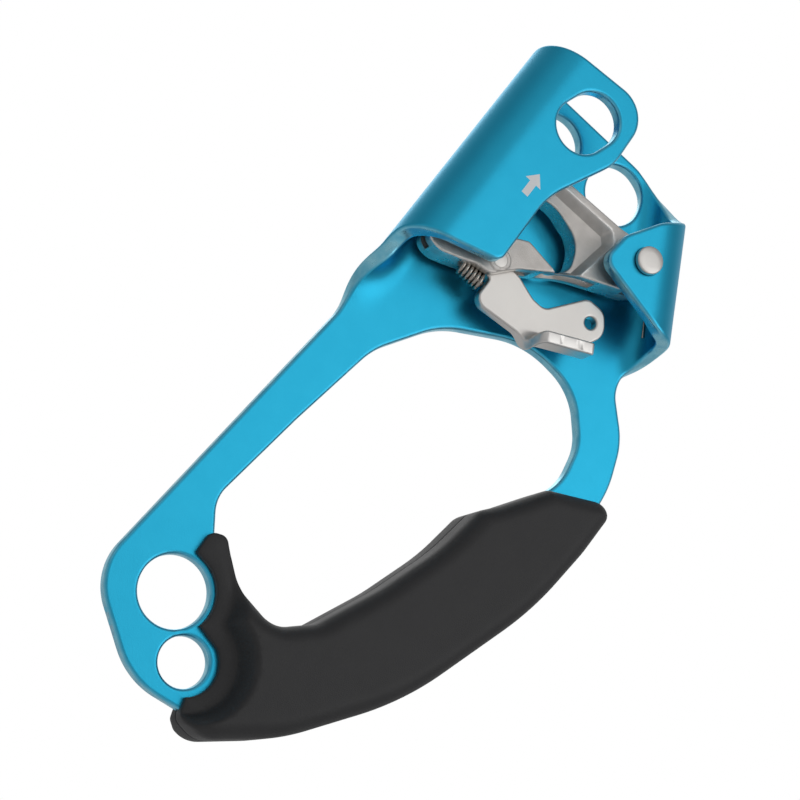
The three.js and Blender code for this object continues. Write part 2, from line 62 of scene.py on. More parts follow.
camera_data = bpy.data.cameras.new("camera")
camera_data.sensor_width, camera_data.lens = 36, 101.25
camera_data.clip_start, camera_data.clip_end = 0.02, 20
camera = bpy.data.objects.new("camera", camera_data)
bpy.context.collection.objects.link(camera)
axes = Matrix([CAMERA_RIGHT, CAMERA_UP, TOWARDS_CAMERA]).transposed().to_4x4()
camera.matrix_world = Matrix.Translation(CAMERA_PLACE) @ axes
bpy.context.scene.camera = camera
bpy.context.scene.view_settings.view_transform = "Standard"
print("camera at", CAMERA_PLACE)


# %% Small helpers for node trees
def wired(tree, kind, settings=(), **inputs):
    """A node of a tree, its inputs set to values or linked to other sockets; Socket_Name means 'Socket Name'."""
    node = tree.nodes.new(kind)
    for name, value in dict(settings).items():
        setattr(node, name, value)
    for key, value in inputs.items():
        numbered = key[0] == "i" and key[1:].isdigit()
        socket = node.inputs[int(key[1:]) if numbered else key.replace("_", " ")]
        if isinstance(value, bpy.types.NodeSocket):
            tree.links.new(value, socket)
        else:
            socket.default_value = value
    return node


def ramp(tree, value, stops):
    """A colour ramp over a value, from a list of (place, colour)."""
    node = wired(tree, "ShaderNodeValToRGB", i0=value)
    elements = node.color_ramp.elements
    while len(elements) < len(stops):
        elements.new(0.5)
    for element, (place, colour) in zip(elements, stops):
        element.position = place
        element.color = (*colour, 1) if len(colour) == 3 else colour
    return node.outputs["Color"]


print("helpers ready")

# %% The studio round the object
world = bpy.data.worlds.new("studio")
bpy.context.scene.world = world
world.use_nodes = True
sky = world.node_tree
sky.nodes.clear()
direction = wired(sky, "ShaderNodeTexCoord").outputs["Generated"]
ahead = wired(sky, "ShaderNodeVectorMath", {"operation": "DOT_PRODUCT"}, i0=direction, i1=TOWARDS_CAMERA)
share = wired(sky, "ShaderNodeMapRange", Value=ahead.outputs["Value"], From_Min=-1.0, From_Max=1.0)
grey = ramp(sky, share.outputs["Result"], [
    (0.0, (0.62, 0.62, 0.62)),
    (0.2, (0.46, 0.46, 0.46)),
    (0.42, (0.28, 0.28, 0.29)),
    (0.62, (0.32, 0.32, 0.33)),
    (0.8, (0.6, 0.6, 0.6)),
    (1.0, (0.42, 0.42, 0.43)),
])
mirrored = wired(sky, "ShaderNodeBackground", Color=grey, Strength=1.0)
seen = wired(sky, "ShaderNodeBackground", Color=(1, 1, 1, 1), Strength=1.0)
to_camera = wired(sky, "ShaderNodeLightPath").outputs["Is Camera Ray"]
mixed = wired(sky, "ShaderNodeMixShader", i0=to_camera, i1=mirrored.outputs[0], i2=seen.outputs[0])
wired(sky, "ShaderNodeOutputWorld", Surface=mixed.outputs[0])
print("studio world made")


# %% Softboxes and floor
def softbox(name, place, size, power):
    """A square area light that faces the middle of the object."""
    data = bpy.data.lights.new(name, "AREA")
    data.shape, data.size, data.energy = "SQUARE", size, power
    lamp = bpy.data.objects.new(name, data)
    bpy.context.collection.objects.link(lamp)
    aim = Vector((0.03, 0.005, -0.065)) - Vector(place)
    lamp.matrix_world = Matrix.Translation(place) @ aim.to_track_quat("-Z", "Y").to_matrix().to_4x4()


softbox("key", (0.2, -1.15, 0.4), 0.7, 0.9)
softbox("fill", (0.75, -0.8, 0.1), 0.8, 2)
softbox("rim", (-0.2, 0.9, 0.7), 0.7, 1.5)

floor_mesh = bpy.data.meshes.new("floor")
FLOOR_Z, FLOOR_HALF = -0.75, 6.0
corners = [(x, y, FLOOR_Z) for x, y in ((-1, -1), (1, -1), (1, 1), (-1, 1))]
floor_mesh.from_pydata([(x * FLOOR_HALF, y * FLOOR_HALF, z) for x, y, z in corners], [], [(0, 1, 2, 3)])
floor = bpy.data.objects.new("floor", floor_mesh)
bpy.context.collection.objects.link(floor)
floor_finish = bpy.data.materials.new("pale_floor")
floor_finish.use_nodes = True
floor_finish.node_tree.nodes["Principled BSDF"].inputs["Base Color"].default_value = (0.86, 0.86, 0.86, 1)
floor_finish.node_tree.nodes["Principled BSDF"].inputs["Roughness"].default_value = 0.9
floor_mesh.materials.append(floor_finish)
print("floor at", FLOOR_Z, "m")

# %% [markdown]
# ## Finishes
# Two effects are shared. The edge effect brightens and smooths the rounded edges, which is where each piece carries
# a `rim` attribute from its making: the smoothing and part of the brightening are the wear of hands and cloths, and
# the rest of the brightening is a painted highlight. `fine_grain` is the small pitting that blasting, tumbling or a
# mould leaves. Both are node groups with named inputs, so that every material sets its own size and strength.


# %% The two shared effects
def group_of(name, inputs, outputs):
    """An empty shader node group: inputs are (name, socket type, default), outputs are (name, socket type)."""
    tree = bpy.data.node_groups.new(name, "ShaderNodeTree")
    for label, kind, default in inputs:
        tree.interface.new_socket(label, in_out="INPUT", socket_type=kind).default_value = default
    for label, kind in outputs:
        tree.interface.new_socket(label, in_out="OUTPUT", socket_type=kind)
    return tree, tree.nodes.new("NodeGroupInput").outputs, tree.nodes.new("NodeGroupOutput").inputs


FLOAT, COLOUR = "NodeSocketFloat", "NodeSocketColor"
# The edge effect: where the rim attribute is high, the colour moves towards a bright colour and the roughness falls.
# The lower roughness is wear; the bright colour is partly wear and partly a painted highlight along the edges.
worn_and_highlit_edges, given, result = group_of(
    "worn_and_highlit_edges",
    [("Colour", COLOUR, (0.5, 0.5, 0.5, 1)), ("Bright", COLOUR, (1, 1, 1, 1)), ("Rim", FLOAT, 0),
     ("Amount", FLOAT, 0.5), ("Patch Scale", FLOAT, 300), ("Roughness", FLOAT, 0.4),
     ("Rubbed Roughness", FLOAT, 0.25)],
    [("Colour", COLOUR), ("Roughness", FLOAT)],
)
at = wired(worn_and_highlit_edges, "ShaderNodeTexCoord").outputs["Object"]
patches = wired(worn_and_highlit_edges, "ShaderNodeTexNoise", Vector=at, Scale=given["Patch Scale"], Detail=3.0)
patchy = wired(worn_and_highlit_edges, "ShaderNodeMapRange", Value=patches.outputs["Fac"], From_Min=0.3, From_Max=0.65,
               To_Min=0.45, To_Max=1.0)
worn_and_highlit = wired(worn_and_highlit_edges, "ShaderNodeMath", {"operation": "MULTIPLY"},
             i0=given["Rim"], i1=patchy.outputs["Result"])
mask = wired(worn_and_highlit_edges, "ShaderNodeMath", {"operation": "MULTIPLY"}, i0=worn_and_highlit.outputs[0], i1=given["Amount"])
tint = wired(worn_and_highlit_edges, "ShaderNodeMix", {"data_type": "RGBA"}, i0=mask.outputs[0], i6=given["Colour"],
             i7=given["Bright"])
rough = wired(worn_and_highlit_edges, "ShaderNodeMix", {"data_type": "FLOAT"}, i0=mask.outputs[0], i2=given["Roughness"],
              i3=given["Rubbed Roughness"])
worn_and_highlit_edges.links.new(tint.outputs[2], result["Colour"])
worn_and_highlit_edges.links.new(rough.outputs[0], result["Roughness"])

fine_grain, given, result = group_of(
    "fine_grain",
    [("Scale", FLOAT, 2000), ("Mottle Scale", FLOAT, 200), ("Colour", COLOUR, (0.5, 0.5, 0.5, 1)),
     ("Mottle", FLOAT, 0.1), ("Dark", COLOUR, (0.3, 0.3, 0.3, 1))],
    [("Height", FLOAT), ("Colour", COLOUR)],
)
at = wired(fine_grain, "ShaderNodeTexCoord").outputs["Object"]
pits = wired(fine_grain, "ShaderNodeTexNoise", Vector=at, Scale=given["Scale"], Detail=2.0)
clouds = wired(fine_grain, "ShaderNodeTexNoise", Vector=at, Scale=given["Mottle Scale"], Detail=4.0)
cloudy = wired(fine_grain, "ShaderNodeMapRange", Value=clouds.outputs["Fac"], From_Min=0.35, From_Max=0.7)
share = wired(fine_grain, "ShaderNodeMath", {"operation": "MULTIPLY"},
              i0=cloudy.outputs["Result"], i1=given["Mottle"])
mottled = wired(fine_grain, "ShaderNodeMix", {"data_type": "RGBA"}, i0=share.outputs[0], i6=given["Colour"],
                i7=given["Dark"])
fine_grain.links.new(pits.outputs["Fac"], result["Height"])
fine_grain.links.new(mottled.outputs[2], result["Colour"])
print("shared effects:", [g.name for g in bpy.data.node_groups])


# %% One recipe for every finish
def finish(name, colour, dark, bright, roughness, metallic, grain=2000, bump=0.1, mottle=0.2, rubbed=0.5,
           rubbed_roughness=0.22, mottle_scale=200):
    """A material from the two shared effects and one Principled BSDF."""
    material = bpy.data.materials.new(name)
    material.use_nodes = True
    tree = material.node_tree
    tree.nodes.clear()
    rim = wired(tree, "ShaderNodeAttribute", {"attribute_name": "rim"}).outputs["Fac"]
    grainy = wired(tree, "ShaderNodeGroup", {"node_tree": fine_grain}, Scale=grain, Mottle_Scale=mottle_scale,
                   Colour=(*colour, 1), Mottle=mottle, Dark=(*dark, 1))
    edged = wired(tree, "ShaderNodeGroup", {"node_tree": worn_and_highlit_edges}, Colour=grainy.outputs["Colour"],
                  Bright=(*bright, 1), Rim=rim, Amount=rubbed, Roughness=roughness,
                  Rubbed_Roughness=rubbed_roughness)
    relief = wired(tree, "ShaderNodeBump", Strength=bump, Distance=0.0002, Height=grainy.outputs["Height"])
    shader = wired(tree, "ShaderNodeBsdfPrincipled", Base_Color=edged.outputs["Colour"], Metallic=metallic,
                   Roughness=edged.outputs["Roughness"], Normal=relief.outputs["Normal"])
    wired(tree, "ShaderNodeOutputMaterial", Surface=shader.outputs[0])
    return material


# Each finish's bright colour is painted on its rounded edges. On the blue aluminium it is a painted highlight; on
# the steels it is partly rubbed wear and partly a painted highlight.
anodised = finish("blue_anodised_aluminium", (0.03, 0.46, 0.71), (0.022, 0.41, 0.65), (0.42, 0.86, 1.0), 0.36, 1.0,
                  grain=3600, bump=0.1, mottle=0.3, rubbed=0.8, rubbed_roughness=0.24)
grip_rubber = finish("moulded_grip_rubber", (0.018, 0.018, 0.019), (0.012, 0.012, 0.013), (0.02, 0.02, 0.021),
                     0.55, 0.0, grain=3200, bump=0.3, mottle=0.4, rubbed=0.3, rubbed_roughness=0.5)
cast_steel = finish("blasted_cast_steel", (0.62, 0.59, 0.56), (0.42, 0.4, 0.37), (0.95, 0.93, 0.91), 0.46, 1.0,
                    grain=4200, bump=0.45, mottle=0.4, rubbed=0.9, mottle_scale=320)
smooth_steel = finish("tumbled_steel", (0.68, 0.66, 0.63), (0.56, 0.54, 0.52), (0.97, 0.96, 0.95), 0.36, 1.0,
                      grain=2600, bump=0.05, mottle=0.3, rubbed=0.35, rubbed_roughness=0.22,
                      mottle_scale=90)
spring_steel = finish("drawn_spring_steel", (0.42, 0.39, 0.35), (0.22, 0.19, 0.17), (0.8, 0.78, 0.75), 0.22, 1.0,
                      grain=1500, bump=0.15, mottle=0.5)
brass = finish("turned_brass", (0.62, 0.43, 0.17), (0.5, 0.33, 0.12), (0.85, 0.7, 0.4), 0.3, 1.0, grain=1200)
laser_mark = finish("laser_mark", (0.85, 0.87, 0.88), (0.7, 0.72, 0.74), (1, 1, 1), 0.7, 0.0, grain=4000, bump=0.3)
print("finishes:", [m.name for m in bpy.data.materials])

# %% [markdown]
# ## Sheets with rounded edges
# Frame, grip, cam and trigger are all flat things: an outline, some holes, and a front and a rear that rise
# and fall. So one helper makes them. It fills the outline with a triangle net that has extra rows of points
# beside every edge, lifts the net to the front and the rear, and lets the rows near the edge dip so that
# the edge is round. Rounded edges matter more than anything else here: each one catches a bright line of
# light.


# %% Outlines with rounded corners
def arc(centre, r, first, last, step=0.8):
    """Points of an arc between two angles in degrees."""
    count = max(3, math.ceil(abs(math.radians(last - first)) * r / step))
    angles = np.radians(np.linspace(first, last, count + 1))
    return np.stack([centre[0] + r * np.cos(angles), centre[1] + r * np.sin(angles)], 1)


def circle(centre, r, step=0.8):
    return arc(centre, r, 0, 360, step)[:-1]


def rounded(items, step=0.8):
    """A closed outline through (x, z, radius) corners; an array in the list is a run of points kept as it is."""
    places = [item[:, :2] if isinstance(item, np.ndarray) else np.array([item[:2]]) for item in items]
    points = []
    for i, item in enumerate(items):
        if isinstance(item, np.ndarray):
            points.extend(item)
            continue
        corner = places[i][0]
        inward, outward = places[i - 1][-1] - corner, places[(i + 1) % len(items)][0] - corner
        lengths = np.linalg.norm(inward), np.linalg.norm(outward)
        half = math.acos(np.clip(inward @ outward / lengths[0] / lengths[1], -1, 1)) / 2
        reach = min(item[2] / math.tan(half), 0.48 * min(lengths))
        if reach <= 1e-6:
            points.append(corner)
            continue
        r = reach * math.tan(half)
        start, end = inward / lengths[0] * reach, outward / lengths[1] * reach
        centre = (start + end) / np.linalg.norm(start + end) * r / math.sin(half)
        turn = math.pi - 2 * half
        side = 1 if inward[0] * outward[1] - inward[1] * outward[0] > 0 else -1
        count = max(2, math.ceil(turn * r / step), math.ceil(math.degrees(turn) / 8))
        for a in np.linspace(0, -side * turn, count + 1):
            c, s = math.cos(a), math.sin(a)
            x, z = start - centre
            points.append(np.array([c * x - s * z, s * x + c * z]) + centre + corner)
    spaced = []
    for a, b in zip(points, points[1:] + points[:1]):
        count = max(1, math.ceil(np.linalg.norm(b - a) / (1.3 * step)))
        spaced.extend(a + (b - a) * k / count for k in range(count))
    return np.array(spaced)


def area(points):
    x, z = points.T
    return 0.5 * np.sum(x * np.roll(z, -1) - z * np.roll(x, -1))


def moved_in(points, distance):
    """The outline moved by a distance to its left-hand side, with true corners."""
    edge = np.roll(points, -1, 0) - points
    edge /= np.linalg.norm(edge, axis=1)[:, None]
    left = np.stack([-edge[:, 1], edge[:, 0]], 1)
    both = left + np.roll(left, 1, 0)
    miter = both / np.maximum(0.5 * np.sum(both * both, 1), 0.5)[:, None]
    return points + miter * distance


print("a rounded square has", len(rounded([(0, 0, 1), (9, 0, 1), (9, 9, 1), (0, 9, 1)])), "points")


# %% Distances and insides
def to_outline(points, outline):
    """The distance of each point from an outline."""
    a, b = outline, np.roll(outline, -1, 0)
    nearest = np.full(len(points), np.inf)
    for start in range(0, len(a), 200):
        p, q = a[start:start + 200], b[start:start + 200]
        way = q - p
        t = np.einsum("ijk,jk->ij", points[:, None] - p, way) / np.maximum(np.sum(way * way, 1), 1e-12)
        gap = points[:, None] - (p + np.clip(t, 0, 1)[..., None] * way)
        nearest = np.minimum(nearest, np.sqrt(np.min(np.sum(gap * gap, 2), 1)))
    return nearest


def inside(points, outline):
    """True for each point inside an outline."""
    x, z = points[:, :1], points[:, 1:]
    (ax, az), (bx, bz) = outline.T, np.roll(outline, -1, 0).T
    crosses = (az > z) != (bz > z)
    rise = np.where(bz == az, 1, bz - az)
    return (np.sum(crosses & (x < ax + (z - az) * (bx - ax) / rise), 1) % 2) == 1


def depth_in(points, outline):
    """How far each point is inside an outline, negative outside."""
    return np.where(inside(points, outline), 1, -1) * to_outline(points, outline)


square = rounded([(0, 0, 1), (9, 0, 1), (9, 9, 1), (0, 9, 1)])
print("depth of the middle of a square:", depth_in(np.array([[4.5, 4.5]]), square))


# %% The net of triangles, and the piece made from it
def net(outline, holes, edge, spacing, rows, extra, creases=()):
    """Triangles that fill an outline: (points, triangles, dip of each point, contours as lists of point numbers)."""
    contours = [outline if area(outline) > 0 else outline[::-1]]
    contours += [hole[::-1] if area(hole) > 0 else hole for hole in holes]
    angles = np.linspace(0, math.pi / 2, rows + 1)
    steps = [(edge * (1 - math.cos(a)), edge * (1 - math.sin(a))) for a in angles] + [(edge + 0.15, 0.0)]
    points, dips, edges, loops = [], [], [], []
    for contour in contours:
        for k, (inset, dip) in enumerate(steps):
            first = len(points)
            ring = moved_in(contour, inset)
            points.extend(ring)
            dips.extend([dip] * len(ring))
            numbers = list(range(first, first + len(ring)))
            edges.extend(zip(numbers, numbers[1:] + numbers[:1]))
            if k == 0:
                loops.append(numbers)
    for crease in creases:
        keep = inside(crease, contours[0]) & np.all([to_outline(crease, c) > edge + 0.3 for c in contours], 0)
        keep &= ~np.any([inside(crease, hole) for hole in contours[1:]], 0) if len(contours) > 1 else True
        numbers = np.cumsum(keep) - 1 + len(points)
        follows = keep & np.roll(keep, -1)
        edges.extend((numbers[i], numbers[(i + 1) % len(crease)]) for i in np.flatnonzero(follows))
        points.extend(crease[keep])
        dips.extend([0.0] * int(keep.sum()))
    lo, hi = contours[0].min(0), contours[0].max(0)
    zs = np.arange(lo[1], hi[1], spacing * 0.866)
    lattice = [(x + (i % 2) * spacing / 2, z) for i, z in enumerate(zs) for x in np.arange(lo[0], hi[0], spacing)]
    free = np.concatenate([np.array(lattice), *extra]) if len(extra) else np.array(lattice)
    free = free[inside(free, contours[0])]
    for contour in contours:
        free = free[to_outline(free, contour) > edge + 0.15 + min(0.3 * spacing, 0.35)]
    for hole in contours[1:]:
        free = free[~inside(free, hole)]
    for crease in creases:
        free = free[to_outline(free, crease) > 0.3 * spacing]
    points = np.concatenate([np.array(points), free])
    dips = np.concatenate([dips, np.zeros(len(free))])
    found = delaunay_2d_cdt([Vector(p) for p in points], edges, [], 0, 1e-6)
    place = np.array([p[:] for p in found[0]])
    origin = [o[0] if o else -1 for o in found[3]]
    renumbered = {old: new for new, olds in enumerate(found[3]) for old in olds}
    dip = np.array([dips[o] if o >= 0 else 0.0 for o in origin])
    triangles = np.array([t[:] for t in found[2]])
    middle = place[triangles].mean(1)
    keep = inside(middle, contours[0])
    for hole in contours[1:]:
        keep &= ~inside(middle, hole)
    return place, triangles[keep], dip, [[renumbered[n] for n in loop] for loop in loops]


def piece_of(name, vertices, faces, material, rim=None, smooth=True):
    """A mesh object in metres from millimetres, with all faces pointing outwards."""
    mesh = bpy.data.meshes.new(name)
    mesh.from_pydata((np.asarray(vertices) * MM).tolist(), [], [list(map(int, f)) for f in faces])
    shaped = bmesh.new()
    shaped.from_mesh(mesh)
    bmesh.ops.recalc_face_normals(shaped, faces=shaped.faces)
    shaped.to_mesh(mesh)
    shaped.free()
    mesh.polygons.foreach_set("use_smooth", [smooth] * len(mesh.polygons))
    if rim is not None:
        mesh.attributes.new("rim", "FLOAT", "POINT").data.foreach_set("value", np.asarray(rim, np.float32))
    mesh.materials.append(material)
    made = bpy.data.objects.new(name, mesh)
    bpy.context.collection.objects.link(made)
    print(f"{name}: {len(mesh.vertices)} vertices, {len(mesh.polygons)} faces")
    return made


def sheet(name, outline, material, front, rear, holes=(), edge=0.6, spacing=1.5, rows=5, extra=(), creases=(),
          worn_and_highlit=(), bend=None):
    """A solid between two heights of y, which may be numbers or functions of the points, with round edges."""
    place, triangles, dip, loops = net(outline, list(holes), edge, spacing, rows, list(extra), list(creases))
    low = front(place) if callable(front) else np.full(len(place), float(front))
    high = rear(place) if callable(rear) else np.full(len(place), float(rear))
    one = np.stack([place[:, 0], low + dip, place[:, 1]], 1)
    other = np.stack([place[:, 0], high - dip, place[:, 1]], 1)
    n = len(place)
    faces = [tuple(t) for t in triangles] + [tuple(t[::-1] + n) for t in triangles]
    for loop in loops:
        faces += [(a, a + n, b + n, b) for a, b in zip(loop, loop[1:] + loop[:1])]
    vertices = np.concatenate([one, other])
    # rim is 1 on the rounded edges and beside the extra outlines given; the materials paint edge wear and a painted
    # highlight there.
    rim = np.tile(np.clip(dip / edge * 1.6, 0, 1), 2)
    for worn_and_highlit_outline in worn_and_highlit:
        rim[:n] = np.maximum(rim[:n], np.clip(1.5 - to_outline(place, worn_and_highlit_outline) / 0.25, 0, 1))
    return piece_of(name, bend(vertices) if bend else vertices, faces, material, rim)


print("sheet maker ready")

# %% [markdown]
# ## The frame
# The real frame is cut flat from 4 mm sheet and folded twice: the left side rolls half a turn round the
# rope, and the upper right corner rolls half a turn to make the ear that holds the cam's rivet. Both folds
# die out downwards. Making it the way it is made, a flat sheet that is then rolled, gives the melting
# curves at the fold ends for nothing.

# %% Sizes of the sheet and its folds
PLATE, CHANNEL_R = 4.0, 6.75
BACK_FACE, MID = CHANNEL_R + PLATE, CHANNEL_R + PLATE / 2
HALF_TURN = math.pi * MID
PIVOT, PIN = np.array([43.4, 0.0]), np.array([14.2, -24.8])
CHANNEL_FADE, EAR_FADE = (-40.0, -58.0), (33.0, 44.0)
EAR_LEAN = math.radians(27.9)
EAR_START = np.array([40.2, 12.07])
EAR_ALONG = np.array([math.sin(EAR_LEAN), -math.cos(EAR_LEAN)])
EAR_ACROSS = np.array([math.cos(EAR_LEAN), math.sin(EAR_LEAN)])


def on_ear(across, along, r):
    return (*(EAR_START + across * EAR_ACROSS + along * EAR_ALONG), r)


def on_flange(x, z, r):
    return (-HALF_TURN - x, z, r)


blank = rounded([
    (33, 28.3, 22), (3, 28.3, 40), on_flange(20.8, 33, 10), on_flange(21.6, 14, 12), on_flange(13, -5.5, 22),
    on_flange(13.4, -28, 3.2), (-14.8, -36.7, 8), (-7.7, -57.7, 16), (-14.9, -147.9, 15), (7.4, -162.6, 20),
    (22.9, -160.3, 4), (31, -153.5, 10), (48, -134.5, 60), (62.5, -106, 80), (73.1, -71, 30), (76.2, -56.6, 5),
    (75.3, -45.5, 30), (71, -33.7, 20), (62, -24.8, 8), on_ear(3.2, 38, 10), on_ear(13, 31.2, 12),
    on_ear(24, 29.6, 10), on_ear(42.2, 14.5, 3.6), on_ear(37, 6.8, 6), on_ear(27.5, 0.8, 20), on_ear(13.7, -4.6, 16),
])
handle_window = rounded([
    (-2.9, -115.8, 9), (0.7, -87.6, 60), (5, -60.7, 22), (15, -43.7, 24), (35.5, -30.7, 26), (52.6, -32, 18),
    (62, -42.6, 13), (64, -53.2, 14), (55.6, -75, 12), (47.5, -106, 60), (35, -131, 10), (18, -134.5, 14),
    (5, -127, 8),
])
SLOT_MIDDLE, SLOT_R, SLOT_LEAN, SLOT_HALF = np.array([9.6, 17.6]), 7.2, 18, 2.0
slot_way = np.array([math.sin(math.radians(SLOT_LEAN)), math.cos(math.radians(SLOT_LEAN))]) * SLOT_HALF
slot = np.concatenate([
    arc(SLOT_MIDDLE + slot_way, SLOT_R, -SLOT_LEAN, 180 - SLOT_LEAN),
    arc(SLOT_MIDDLE - slot_way, SLOT_R, 180 - SLOT_LEAN, 360 - SLOT_LEAN),
])
slot_in_blank = np.stack([-HALF_TURN - slot[:, 0], slot[:, 1]], 1)
BIG_EYE, SMALL_EYE, TOP_EYE, SIDE_EYE = (2.9, -139.9), (14.9, -151.3), (9, 16.7), (30.2, 17.6)
RIVET_HOLE_R = 3.05
ear_hole = EAR_START + (HALF_TURN - (PIVOT - EAR_START) @ EAR_ACROSS) * EAR_ACROSS
ear_hole = ear_hole + ((PIVOT - EAR_START) @ EAR_ALONG) * EAR_ALONG
frame_holes = [
    handle_window, slot_in_blank, circle(BIG_EYE, 8.8), circle(SMALL_EYE, 6.15), circle(TOP_EYE, 7.7),
    circle(SIDE_EYE, 8.2), circle(PIVOT, RIVET_HOLE_R), circle(ear_hole, RIVET_HOLE_R),
]
print("blank", np.round(blank.min(0), 1), np.round(blank.max(0), 1))


# %% Rolling the sheet
FLAT = 1e-4


def strength(value, fade):
    """How strongly a fold is made: 1 up to fade[0], 0 from fade[1] on, and a smooth change between them."""
    share = np.clip((value - fade[1]) / (fade[0] - fade[1]), 0, 1)
    return share * share * (3 - 2 * share)


def roll(past, y, share, mid=MID, most=math.pi):
    """Rolls a distance past a fold line forwards: how far it ends up from the line, and its y."""
    r = mid / share
    turn = np.minimum(past / r, most)
    rest = past - turn * r
    reach = r + (y - mid)
    return reach * np.sin(turn) + rest * np.cos(turn), mid - r + reach * np.cos(turn) - rest * np.sin(turn)


def folded(v):
    """Rolls the channel on the left and the ear on the upper right."""
    x, y, z = v.T.copy()
    out = v.copy()
    channel = strength(z, CHANNEL_FADE)
    left = (x < 0) & (channel > FLAT)
    reach, depth = roll(-x[left], y[left], channel[left])
    out[left, 0], out[left, 1] = -reach, depth
    offset = np.stack([x, z], 1) - EAR_START
    across, along = offset @ EAR_ACROSS, offset @ EAR_ALONG
    ear = strength(along, EAR_FADE)
    right = ~left & (across > 0) & (ear > FLAT)
    reach, depth = roll(across[right], y[right], ear[right])
    place = EAR_START + reach[:, None] * EAR_ACROSS + along[right, None] * EAR_ALONG
    out[right, 0], out[right, 1], out[right, 2] = place[:, 0], depth, place[:, 1]
    return out


folded_frame = sheet("folded_frame", blank, anodised, CHANNEL_R, BACK_FACE, frame_holes, edge=0.9, spacing=1.4,
                     bend=folded)
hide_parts("frame")
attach(folded_frame, "chassis")

# %% [markdown]
# The way up the rope is shown by a plain arrow, marked by laser on the flange. A mark is a change of
# surface and not of shape, so it is a film that stands a fiftieth of a millimetre proud, with a rough white
# finish of its own.

# %% The up arrow
ARROW_MIDDLE = np.array([7.7, -6.4])
FILM_PROUD, FILM_SUNK = 0.02, 0.1
arrow = ARROW_MIDDLE + np.array([
    (-1.0, -3.5), (1.0, -3.5), (1.0, 0.4), (2.5, 0.4), (0, 3.5), (-2.5, 0.4), (-1.0, 0.4),
])
film = [(x, y, z) for y in (-BACK_FACE - FILM_PROUD, -BACK_FACE + FILM_SUNK) for x, z in arrow]
count = len(arrow)
sides = [(i, (i + 1) % count, (i + 1) % count + count, i + count) for i in range(count)]
up_arrow = piece_of("up_arrow", film, [range(count), range(2 * count - 1, count - 1, -1), *sides], laser_mark,
                    smooth=False)
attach(up_arrow, "chassis")

# %% [markdown]
# ## The grip
# Two rubber shells are clamped round the handle. Each is a palm-filling body with a broad round edge.
# Beside the two eyes it leaves a thin lip on the plate, and towards the thumb rest it sinks to that lip as
# well. So the height is a product of two smooth rises: one with the distance from the eyes, and one with
# the distance from the tip of the thumb rest.

# %% Outline and height of the grip
LIP, PALM = 2.4, 7.2
EDGE_WIDE, EDGE_DEEP = 4.6, 5.2
grip_foot = rounded([
    (77.7, -54.4, 3), (73.8, -52.8, 6), (60.5, -59.9, 2), (52.8, -71.8, 5), (49.3, -76.3, 5), (47.2, -90, 60),
    (41.3, -107.6, 60), (33.5, -125.1, 9), (25.4, -133, 7), (13.8, -129.8, 14), (7.7, -124.8, 3), (4.5, -121.9, 2.4),
    (0.7, -123.6, 2.4), (1, -129.6, 0.9), arc(BIG_EYE, 9.9, 78, -16), arc(SMALL_EYE, 8.2, 60, -52),
    (21.5, -162.7, 3),
    (28.5, -163.7, 7), (43.2, -151.6, 50), (62, -125.6, 80), (75.2, -86.8, 90), (77.4, -66.6, 40),
])
THUMB_TIP = np.array([1.0, -122.0])
BIG_LIP_R, SMALL_LIP_R, LIP_RUN = 13.0, 11.6, 4.0


def risen(points):
    """0 on the lip and 1 on the full palm."""
    beside_big = np.linalg.norm(points - BIG_EYE, axis=1) - BIG_LIP_R
    beside_small = np.linalg.norm(points - SMALL_EYE, axis=1) - SMALL_LIP_R
    from_eyes = strength(np.minimum(beside_big, beside_small), (LIP_RUN, 0.0))
    from_tip = strength(np.linalg.norm(points - THUMB_TIP, axis=1), (27.0, 5.0))
    return from_eyes * from_tip


def rounding(points):
    """How far the round edge falls below the palm or the lip; it is broad and deep on the palm only."""
    near = np.clip(1 - np.maximum(depth_in(points, grip_foot), 0) / EDGE_WIDE, 0, 1)
    share = 0.14 + 0.86 * strength(risen(points), (0.8, 0.0))
    return EDGE_DEEP * share * (1 - np.sqrt(1 - near * near))


def height(points):
    """How far the grip's surface is from the sheet's face."""
    return LIP + PALM * risen(points) - rounding(points)


print("grip", np.round(grip_foot.min(0), 1), np.round(grip_foot.max(0), 1))

# %% The two shells
SEAM, SCREW_WELL_R = 0.15, 3.8
screw_places = [(64.5, -76.0), (54.5, -107.0), (31.0, -143.0)]
foot_left = grip_foot if area(grip_foot) > 0 else grip_foot[::-1]
grip_rows = []
for inset in (0.7, 1.0, 1.4, 1.9, 2.5, 3.2, 4.0, 4.8):
    row = moved_in(foot_left, inset)
    grip_rows.append(row[np.abs(depth_in(row, grip_foot) - inset) < 0.06])
grip_rows += [arc(BIG_EYE, r, 90, -40, 1.0) for r in np.arange(BIG_LIP_R, 17.3, 0.7)]
grip_rows += [arc(SMALL_EYE, r, 70, -75, 1.0) for r in np.arange(SMALL_LIP_R, 16, 0.7)]
grip_front = sheet("grip_front", grip_foot, grip_rubber, lambda p: CHANNEL_R - height(p), MID - SEAM, edge=0.35,
                   spacing=1.2, rows=4, extra=grip_rows)
grip_rear = sheet("grip_rear", grip_foot, grip_rubber, MID + SEAM, lambda p: BACK_FACE + height(p), edge=0.35,
                  spacing=1.2, rows=4, extra=grip_rows,
                  holes=[circle(place, SCREW_WELL_R) for place in screw_places])
for shell, node in ((grip_front, "grip_front_shell"), (grip_rear, "grip_rear_shell")):
    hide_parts(node)
    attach(shell, "chassis")

# %% [markdown]
# ## Turned pieces
# Rivet, pin, washers and bushing are turned on a lathe, so each is a profile spun about an axis that runs
# front to back. The profile has its own small rounding at each edge, because no turned edge is knife sharp.


